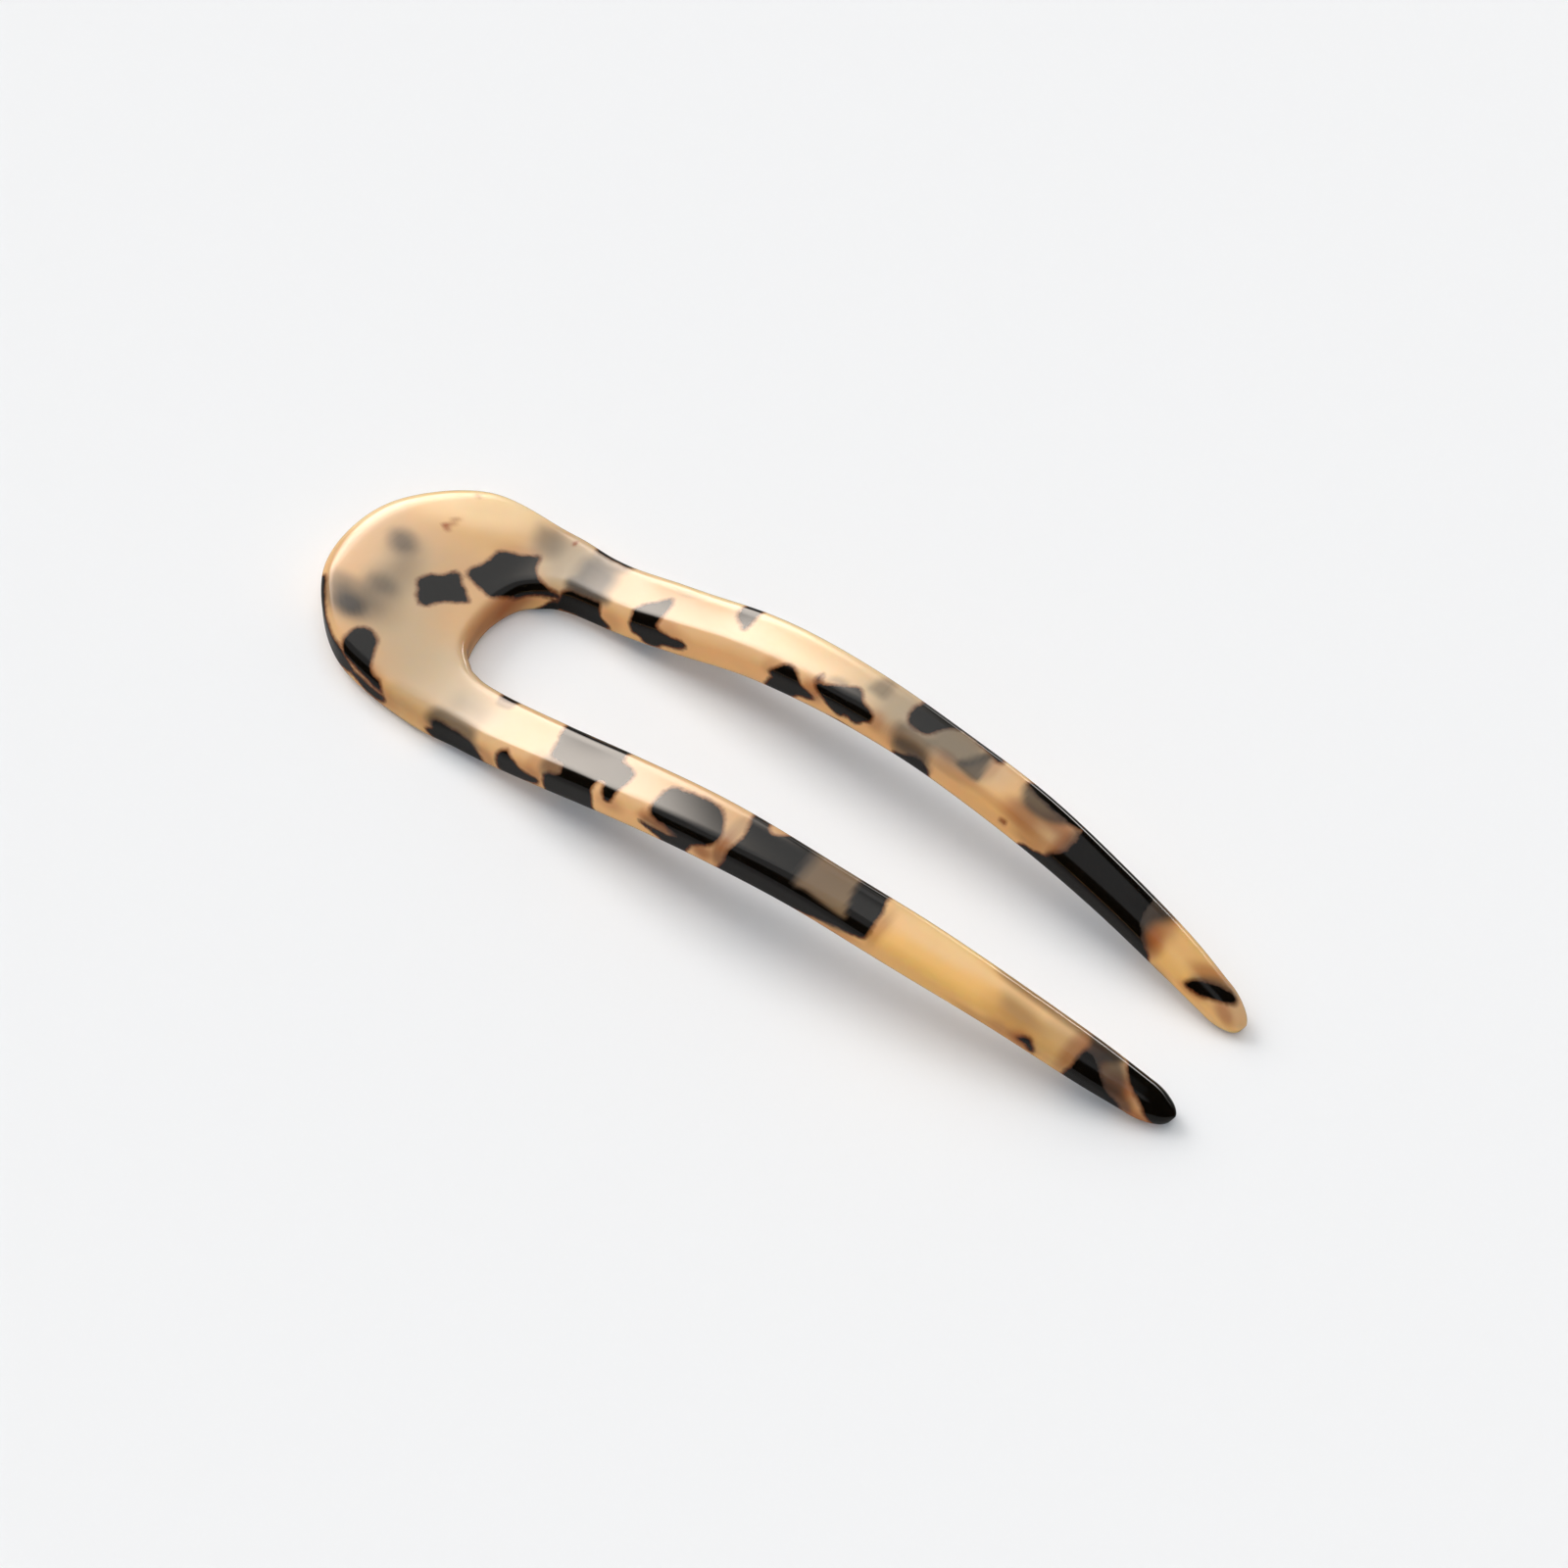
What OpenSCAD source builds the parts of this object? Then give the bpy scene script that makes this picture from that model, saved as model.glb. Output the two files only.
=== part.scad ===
// Two-pronged French hair pin, cut from one flat sheet of acetate and bent to a shallow wave.
// It lies on its head and its tips: +X runs along it to the tips, +Y across it, +Z up.

/* [Overall] */
// Length from the crown of the head to the ends of the tips
pin_length = 115; // [95:1:140]
// Outer width across the two prongs
pin_width = 31; // [28:0.5:36]
// Widest gap between the two prongs
slot_width = 17.6; // [14:0.2:20]
// Width of the band at the crown, from its outer edge to the end of the gap
crown_band = 19.6; // [15:0.2:24]

/* [Section] */
// Thickness of the head and of the prongs up to their middle
sheet_thickness = 4.5; // [3.6:0.1:6]
// Thickness of the prongs where their rounded tips begin
tip_thickness = 3; // [2.4:0.1:3.5]
// Radius of the polished edges
edge_radius = 1.3; // [0.6:0.1:1.6]
// Length of the rounding at the end of each tip
tip_rounding = 4; // [3:0.5:6]

/* [Wave] */
// Height of the hollow under the arched prongs
arch_rise = 8.2; // [4:0.2:12]

/* [Detail] */
// Rings of the surface between two rows of the outline
rings_per_row = 5; // [3:1:6]

/* [Hidden] */

// Half of the outline, a row for each section from the crown to the start of a tip.
// Lengths are shares of the way from the crown, or from the gap's end, to that start,
// and widths are shares of half the pin's width and of half the gap's.
OUTLINE = [
    // outer_along, outer_across, inner_along, inner_across
    [0.000, 0.000, 0.000, 0.000],
    [0.018, 0.470, 0.010, 0.500],
    [0.085, 0.895, 0.035, 0.760],
    [0.180, 0.990, 0.050, 0.830],
    [0.240, 0.975, 0.075, 0.880],
    [0.290, 0.980, 0.140, 0.910],
    [0.360, 0.990, 0.225, 0.955],
    [0.440, 1.000, 0.320, 1.000],
    [0.540, 0.975, 0.440, 0.985],
    [0.650, 0.920, 0.575, 0.965],
    [0.760, 0.875, 0.710, 0.875],
    [0.860, 0.790, 0.830, 0.780],
    [0.945, 0.710, 0.935, 0.670],
    [1.000, 0.630, 1.000, 0.610],
];

// Side view, a row for each twelfth of the length from the crown to the tips.
// The underside's height is a share of arch_rise, and the thickness goes from
// tip_thickness at 0 to sheet_thickness at 1.
WAVE = [
    // underside, thickness
    [0.100, 1.00],
    [0.115, 1.00],
    [0.000, 1.00],
    [0.095, 1.00],
    [0.395, 1.00],
    [0.740, 1.00],
    [0.945, 1.00],
    [1.000, 1.00],
    [0.945, 0.90],
    [0.825, 0.73],
    [0.600, 0.54],
    [0.300, 0.27],
    [-0.075, 0.00],
];

// How much of the section is left at the very end of a tip
end_thickness = 0.5;
end_angle = 87;
tip_rings = 8;
corner_steps = 4;
flat_steps = 5;
slope_step = 0.25;
// An edge's radius takes less than half of a thin section
edge_limit = 0.49;

last_row = len(OUTLINE) - 1;
last_wave = len(WAVE) - 1;
// Length up to the start of the rounded tips
straight_length = pin_length - tip_rounding;

// Smooth curve from p1 to p2 with the neighbours p0 and p3
function curve(p0, p1, p2, p3, t) =
    0.5 * (2 * p1 + (p2 - p0) * t
        + (2 * p0 - 5 * p1 + 4 * p2 - p3) * pow(t, 2)
        + (3 * p1 - p0 - 3 * p2 + p3) * pow(t, 3));

// Rows of the side view, carried on in a straight line past both ends
function wave_row(i) =
    i < 0 ? 2 * WAVE[0] - WAVE[1]
    : i > last_wave ? 2 * WAVE[last_wave] - WAVE[last_wave - 1]
    : WAVE[i];

function wave_at(x) =
    let (u = last_wave * max(0, min(1, x / pin_length)))
    let (i = min(floor(u), last_wave - 1))
    curve(wave_row(i - 1), wave_row(i), wave_row(i + 1), wave_row(i + 2), u - i);

function thickness_at(x) = tip_thickness + (sheet_thickness - tip_thickness) * wave_at(x)[1];
function middle_at(x) = arch_rise * wave_at(x)[0] + thickness_at(x) / 2;

function slope_at(x) =
    let (low = max(0, x - slope_step), high = min(pin_length, x + slope_step))
    (middle_at(high) - middle_at(low)) / (high - low);

// A point of the flat sheet, carried to its place on the wave, at a height over the sheet's middle
function bend(x, y, height) =
    let (slope = slope_at(x), stretch = sqrt(1 + pow(slope, 2)))
    [x - height * slope / stretch, y, middle_at(x) + height / stretch];

// Outer and inner edge of the flat outline at a row, mirrored past the crown
function edge_row(i) =
    i < 0 ? [for (p = edge_row(1)) [p[0], -p[1]]]
    : i > last_row ? 2 * edge_row(last_row) - edge_row(last_row - 1)
    : let (row = OUTLINE[i])
      [[row[0] * straight_length, row[1] * pin_width / 2],
       [crown_band + row[2] * (straight_length - crown_band), row[3] * slot_width / 2]];

function edges_at(i, t) =
    curve(edge_row(i - 1), edge_row(i), edge_row(i + 1), edge_row(i + 2), t);

function middle_of(edges) = (edges[0] + edges[1]) / 2;

// Unit section: the share of the flat's half width and height, and the direction of the rounding
function corner(across, up, start) =
    [for (i = [0:corner_steps])
        let (a = start + 90 * i / corner_steps)
        [across, up, cos(a), sin(a)]];
function flat(from, up) =
    [for (i = [1:flat_steps - 1]) [from * (1 - 2 * i / flat_steps), up, 0, up]];
SECTION = concat(
    corner(1, 1, 0), flat(1, 1), corner(-1, 1, 90),
    corner(-1, -1, 180), flat(-1, -1), corner(1, -1, 270));

// A ring of the surface between two edge points, with its width and thickness shrunk at a tip
function ring(edges, width_share, thickness_share) =
    let (middle = middle_of(edges))
    let (side = (edges[0] - edges[1]) / norm(edges[0] - edges[1]))
    let (w = norm(edges[0] - edges[1]) * width_share)
    let (r = min(edge_radius, edge_limit * min(w, thickness_share * thickness_at(middle[0]))))
    [for (s = SECTION)
        let (p = middle + side * (s[0] * (w / 2 - r) + s[2] * r))
        let (h = thickness_share * thickness_at(p[0]))
        bend(p[0], p[1], s[1] * (h / 2 - r) + s[3] * r)];

// The rings of a rounded tip follow on from the last row in the prong's own direction
tip_edges = edge_row(last_row);
tip_step = middle_of(tip_edges) - middle_of(edges_at(last_row - 1, 1 - 1 / rings_per_row));
function tip_ring(angle) =
    let (move = tip_step / tip_step[0] * tip_rounding * sin(angle))
    ring([for (p = tip_edges) p + move], cos(angle), end_thickness + (1 - end_thickness) * cos(angle));

far_prong = concat(
    [for (i = [0:last_row - 1], j = [0:rings_per_row - 1]) ring(edges_at(i, j / rings_per_row), 1, 1)],
    [ring(tip_edges, 1, 1)],
    [for (i = [1:tip_rings]) tip_ring(end_angle * i / tip_rings)]);
near_prong = [for (i = [len(far_prong) - 1:-1:1]) [for (p = far_prong[i]) [p[0], -p[1], p[2]]]];
rings = concat(near_prong, far_prong);

function centre(points) =
    [for (k = [0:2]) let (values = [for (p = points) p[k]]) (min(values) + max(values)) / 2];

// The pin lies on the plane of its origin, with the middle of its box over it
surface = [for (r = rings) each r];
box_centre = centre(surface);
low = min([for (p = surface) p[2]]);

module hair_pin() {
    sides = len(SECTION);
    count = len(rings);
    points = concat(surface, [centre(rings[0]), centre(rings[count - 1])]);
    wall = [for (i = [0:count - 2], k = [0:sides - 1])
        let (a = i * sides + k, b = i * sides + (k + 1) % sides)
        each [[a, a + sides, b + sides], [a, b + sides, b]]];
    start_cap = [for (k = [0:sides - 1]) [count * sides, k, (k + 1) % sides]];
    end_cap = [for (k = [0:sides - 1])
        [count * sides + 1, (count - 1) * sides + (k + 1) % sides, (count - 1) * sides + k]];
    color("burlywood")
        translate([-box_centre[0], -box_centre[1], -low])
            polyhedron(points, concat(wall, start_cap, end_cap), convexity = 4);
}

hair_pin();
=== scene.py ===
"""A French hair pin in polished tortoiseshell acetate, lying on a pale floor under soft studio light."""
import math

import bpy
import numpy as np
from mathutils import Matrix, Vector


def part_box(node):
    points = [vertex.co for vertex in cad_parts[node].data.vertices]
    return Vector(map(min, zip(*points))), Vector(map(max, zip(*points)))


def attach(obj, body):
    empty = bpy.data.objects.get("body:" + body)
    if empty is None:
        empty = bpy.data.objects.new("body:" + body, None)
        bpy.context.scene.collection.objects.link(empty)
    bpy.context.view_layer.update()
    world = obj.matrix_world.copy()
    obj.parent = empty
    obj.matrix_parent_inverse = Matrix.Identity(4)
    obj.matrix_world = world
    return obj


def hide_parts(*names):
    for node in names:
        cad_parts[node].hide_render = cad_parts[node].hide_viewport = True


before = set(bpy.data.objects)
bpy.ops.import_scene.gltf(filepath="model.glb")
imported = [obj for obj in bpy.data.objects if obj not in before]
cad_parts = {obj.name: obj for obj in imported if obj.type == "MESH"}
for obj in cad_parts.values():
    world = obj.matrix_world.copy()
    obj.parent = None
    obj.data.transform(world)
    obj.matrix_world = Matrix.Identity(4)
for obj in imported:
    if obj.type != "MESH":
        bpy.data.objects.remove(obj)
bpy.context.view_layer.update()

MM = 0.001

# Camera, at the photograph's angle to the pin; places are in metres

CAMERA_AZIMUTH = math.radians(31.75)
CAMERA_ELEVATION = math.radians(53.75)
CAMERA_ROLL = math.radians(-4.84)
CAMERA_DISTANCE = 0.420
CAMERA_AIM = Vector((0.00082, 0.00290, 0.00145))
LENS_MM = 88.46
SENSOR_MM = 36.0


def add_camera():
    data = bpy.data.cameras.new("camera")
    data.lens = LENS_MM
    data.sensor_width = SENSOR_MM
    camera = bpy.data.objects.new("camera", data)
    bpy.context.scene.collection.objects.link(camera)
    level = math.cos(CAMERA_ELEVATION)
    back = Vector((
        math.sin(CAMERA_AZIMUTH) * level,
        -math.cos(CAMERA_AZIMUTH) * level,
        math.sin(CAMERA_ELEVATION)))
    right = Vector((math.cos(CAMERA_AZIMUTH), math.sin(CAMERA_AZIMUTH), 0))
    up = back.cross(right)
    rolled_right = right * math.cos(CAMERA_ROLL) - up * math.sin(CAMERA_ROLL)
    rolled_up = right * math.sin(CAMERA_ROLL) + up * math.cos(CAMERA_ROLL)
    turn = Matrix((rolled_right, rolled_up, back)).transposed()
    camera.matrix_world = Matrix.Translation(CAMERA_AIM + back * CAMERA_DISTANCE) @ turn.to_4x4()
    bpy.context.scene.camera = camera


# Sizes of the pin in millimetres, as in the part's source

PIN_LENGTH = 115.0
PIN_WIDTH = 31.0
SLOT_WIDTH = 17.6
CROWN_BAND = 19.6
SHEET_THICKNESS = 4.5
TIP_THICKNESS = 3.0
TIP_ROUNDING = 4.0
ARCH_RISE = 8.2
# A tip's rounding stops at this angle, where the tip keeps about this share of its thickness
END_ANGLE = math.radians(87)
END_THICKNESS = 0.5
# The wave's slope is measured this far to each side
SLOPE_STEP = 0.25

# Half of the flat outline: shares of the length to the start of a tip, and of half the widths
OUTLINE = np.array([
    # outer_along, outer_across, inner_along, inner_across
    [0.000, 0.000, 0.000, 0.000],
    [0.018, 0.470, 0.010, 0.500],
    [0.085, 0.895, 0.035, 0.760],
    [0.180, 0.990, 0.050, 0.830],
    [0.240, 0.975, 0.075, 0.880],
    [0.290, 0.980, 0.140, 0.910],
    [0.360, 0.990, 0.225, 0.955],
    [0.440, 1.000, 0.320, 1.000],
    [0.540, 0.975, 0.440, 0.985],
    [0.650, 0.920, 0.575, 0.965],
    [0.760, 0.875, 0.710, 0.875],
    [0.860, 0.790, 0.830, 0.780],
    [0.945, 0.710, 0.935, 0.670],
    [1.000, 0.630, 1.000, 0.610],
])

# Side view in twelfths of the length: share of the arch's rise, and thickness from tip to sheet
WAVE = np.array([
    # underside, thickness
    [0.100, 1.00],
    [0.115, 1.00],
    [0.000, 1.00],
    [0.095, 1.00],
    [0.395, 1.00],
    [0.740, 1.00],
    [0.945, 1.00],
    [1.000, 1.00],
    [0.945, 0.90],
    [0.825, 0.73],
    [0.600, 0.54],
    [0.300, 0.27],
    [-0.075, 0.00],
])

# The polished edge is a quarter of a full oval: its reach over the face and down the wall, its
# fullness, where 2 is an ellipse, and the largest share of the width or thickness that it takes
EDGE_OVER = 1.7
EDGE_DOWN = 1.35
EDGE_FULLNESS = 2.3
EDGE_LIMIT = 0.49
# The crown's outer edge is polished wider, and narrows between these places along each prong
CROWN_OVER = 2.8
NEAR_CROWN_EDGE = (9.8, 11.2)
FAR_CROWN_EDGE = (12.0, 20.0)
# The bent prongs are slightly cupped, hollow on top, between these places along them
DISH_CURVE = 0.0147
DISH_START = (22.0, 36.0)
DISH_END = (98.0, 78.0)
# The far prong's neck slopes down towards the gap, between these places along it
FAR_LEAN = 0.085
LEAN_START = (28.0, 36.0)
LEAN_END = (62.0, 50.0)

# Mesh density: rings between two outline rows, tip rings, and points for each stretch of a section
RINGS_PER_ROW = 25
TIP_RINGS = 24
FLAT_STEPS = 10
CORNER_STEPS = 9
WALL_STEPS = 4

# Signs that carry points and their places in the plans from the far side to the near one
MIRROR = {"points": (1, -1, 1), "top_plan": (1, -1), "under_plan": (1, -1)}


def smooth_curve(rows, u):
    """Curve through the rows at fractional row numbers; rows holds one ghost row before and after."""
    last = len(rows) - 4
    i = np.clip(np.floor(u).astype(int), 0, last)
    t = (u - i)[:, None]
    p0, p1, p2, p3 = rows[i], rows[i + 1], rows[i + 2], rows[i + 3]
    return 0.5 * (2 * p1 + (p2 - p0) * t
                  + (2 * p0 - 5 * p1 + 4 * p2 - p3) * t ** 2
                  + (3 * p1 - p0 - 3 * p2 + p3) * t ** 3)


def wave_at(x):
    rows = np.vstack([2 * WAVE[0] - WAVE[1], WAVE, 2 * WAVE[-1] - WAVE[-2]])
    share = np.clip(x / PIN_LENGTH, 0, 1).ravel()
    return smooth_curve(rows, share * (len(WAVE) - 1)).reshape(np.shape(x) + (2,))


def thickness_at(x):
    return TIP_THICKNESS + (SHEET_THICKNESS - TIP_THICKNESS) * wave_at(x)[..., 1]


def middle_at(x):
    return ARCH_RISE * wave_at(x)[..., 0] + thickness_at(x) / 2


def bend(x, y, height):
    """Carries points of the flat sheet to the wave, at a height over the sheet's middle."""
    low = np.maximum(0, x - SLOPE_STEP)
    high = np.minimum(PIN_LENGTH, x + SLOPE_STEP)
    slope = (middle_at(high) - middle_at(low)) / (high - low)
    stretch = np.sqrt(1 + slope ** 2)
    return np.stack([x - height * slope / stretch, y, middle_at(x) + height / stretch], -1)


def prong_sections():
    """Middle, outward direction, width and thickness share of each section, from crown to far tip."""
    straight = PIN_LENGTH - TIP_ROUNDING
    rows = OUTLINE * [straight, PIN_WIDTH / 2, straight - CROWN_BAND, SLOT_WIDTH / 2] + [0, 0, CROWN_BAND, 0]
    rows = np.vstack([rows[1] * [1, -1, 1, -1], rows, 2 * rows[-1] - rows[-2]])
    count = len(OUTLINE) - 1
    edges = smooth_curve(rows, np.linspace(0, count, count * RINGS_PER_ROW + 1))
    outer, inner = edges[:, :2], edges[:, 2:]
    middle = (outer + inner) / 2
    width = np.linalg.norm(outer - inner, axis=1)
    side = (outer - inner) / width[:, None]
    heading = middle[-1] - middle[-2]
    angle = END_ANGLE * np.arange(1, TIP_RINGS + 1) / TIP_RINGS
    steps = heading / heading[0] * (TIP_ROUNDING * np.sin(angle))[:, None]
    return (np.vstack([middle, middle[-1] + steps]),
            np.vstack([side, np.repeat(side[-1:], TIP_RINGS, 0)]),
            np.concatenate([width, width[-1] * np.cos(angle)]),
            np.concatenate([np.ones(len(middle)), END_THICKNESS + (1 - END_THICKNESS) * np.cos(angle)]))


def half_section():
    """Half a section from the middle of the top to the middle of the underside.

    Columns: shares of the flat's half width, of the edge's reach over, of the wall's half height
    and of the edge's reach down."""
    rows = [(share, 0, 1, 1) for share in np.linspace(0, 1, FLAT_STEPS + 1)[:-1]]
    quarter = np.linspace(math.pi / 2, 0, CORNER_STEPS + 1)
    power = 2 / EDGE_FULLNESS
    corner = [(max(math.cos(a), 0) ** power, math.sin(a) ** power) for a in quarter]
    rows += [(1, over, 1, down) for over, down in corner]
    rows += [(1, 1, share, 0) for share in np.linspace(1, -1, WALL_STEPS + 1)[1:-1]]
    rows += [(1, over, -1, -down) for over, down in corner[::-1]]
    rows += [(share, 0, -1, -1) for share in np.linspace(1, 0, FLAT_STEPS + 1)[1:]]
    return np.array(rows)


def half_bottom_start():
    """Number of the half section's first point on the underside's flat."""
    return FLAT_STEPS + 2 * CORNER_STEPS + WALL_STEPS


def smooth_step(low, high, value):
    t = np.clip((value - low) / (high - low), 0, 1)
    return t * t * (3 - 2 * t)


def build_side(sections, sign, reach_over, lean):
    """One side of every section, outer where sign is 1 and inner where it is -1.

    Gives the points, their places in the plans unfolded from the top and from the underside,
    how far beyond the wall they are, and how far down the wall."""
    middle, side, width, thinning = sections
    half = half_section()
    over = np.minimum(reach_over, EDGE_LIMIT * width)[:, None]
    down = np.minimum(EDGE_DOWN, EDGE_LIMIT * thinning * thickness_at(middle[:, 0]))[:, None]
    across = half[:, 0] * (width[:, None] / 2 - over) + half[:, 1] * over
    plan = middle[:, None] + side[:, None] * (sign * across)[..., None]
    thickness = thinning[:, None] * thickness_at(plan[..., 0])
    height = half[:, 2] * (thickness / 2 - down) + half[:, 3] * down
    dished = smooth_step(*DISH_START, middle[:, 0]) * smooth_step(*DISH_END, middle[:, 0])
    dish = DISH_CURVE * dished[:, None] * (across ** 2 - width[:, None] ** 2 / 4)
    leaning = lean * smooth_step(*LEAN_START, middle[:, 0]) * smooth_step(*LEAN_END, middle[:, 0])
    points = bend(plan[..., 0], plan[..., 1], height + dish + sign * leaning[:, None] * across)
    steps = np.hypot(np.diff(across), np.diff(height))
    walked = np.cumsum(np.hstack([np.zeros((len(width), 1)), steps]), 1)
    return {
        "points": points,
        "top_plan": middle[:, None] + side[:, None] * (sign * walked)[..., None],
        "under_plan": middle[:, None] + side[:, None] * (sign * (walked[:, -1:] - walked))[..., None],
        "beyond_wall": walked - walked[:, half_bottom_start(), None],
        "depth": (thickness / 2 - height) / thickness,
    }


def build_surface():
    """The fields of build_side for the whole pin, ring by ring from the near tip to the far tip."""
    sections = prong_sections()
    along = sections[0][:, 0]
    halves = []
    for crown_end, lean in ((NEAR_CROWN_EDGE, 0), (FAR_CROWN_EDGE, FAR_LEAN)):
        reach = CROWN_OVER + (EDGE_OVER - CROWN_OVER) * smooth_step(*crown_end, along)
        outer = build_side(sections, 1, reach, lean)
        inner = build_side(sections, -1, EDGE_OVER, lean)
        halves.append({name: np.concatenate([outer[name], inner[name][:, -2:0:-1]], 1) for name in outer})
    near, far = halves
    return {name: np.concatenate([(near[name] * MIRROR.get(name, 1))[:0:-1], far[name]]) for name in far}


def build_mesh(surface):
    """The pin's closed mesh, in metres in the frame's place, with smooth shading."""
    points = surface["points"]
    rings, sides = points.shape[:2]
    flat = points.reshape(-1, 3)
    ends = np.array([points[0].mean(0), points[-1].mean(0)])
    low, high = flat.min(0), flat.max(0)
    box_low, box_high = (np.array(corner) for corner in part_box("hair_pin"))
    vertices = box_low + (np.vstack([flat, ends]) - low) * (box_high - box_low) / (high - low)
    ring, side = np.meshgrid(np.arange(rings - 1), np.arange(sides), indexing="ij")
    a = (ring * sides + side).ravel()
    b = (ring * sides + (side + 1) % sides).ravel()
    faces = np.stack([a, b, b + sides, a + sides], -1).tolist()
    first, last = rings * sides, rings * sides + 1
    start = (rings - 1) * sides
    faces += [[first, (k + 1) % sides, k] for k in range(sides)]
    faces += [[last, start + k, start + (k + 1) % sides] for k in range(sides)]
    mesh = bpy.data.meshes.new("hair_pin_acetate")
    mesh.from_pydata(vertices.tolist(), [], faces)
    mesh.polygons.foreach_set("use_smooth", [True] * len(mesh.polygons))
    mesh.update()
    return mesh


# Tortoiseshell pattern, charted. Places are millimetres from the crown along the pin and
# millimetres across it, on a plan in which the walls are folded out flat beside the top face.

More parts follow.
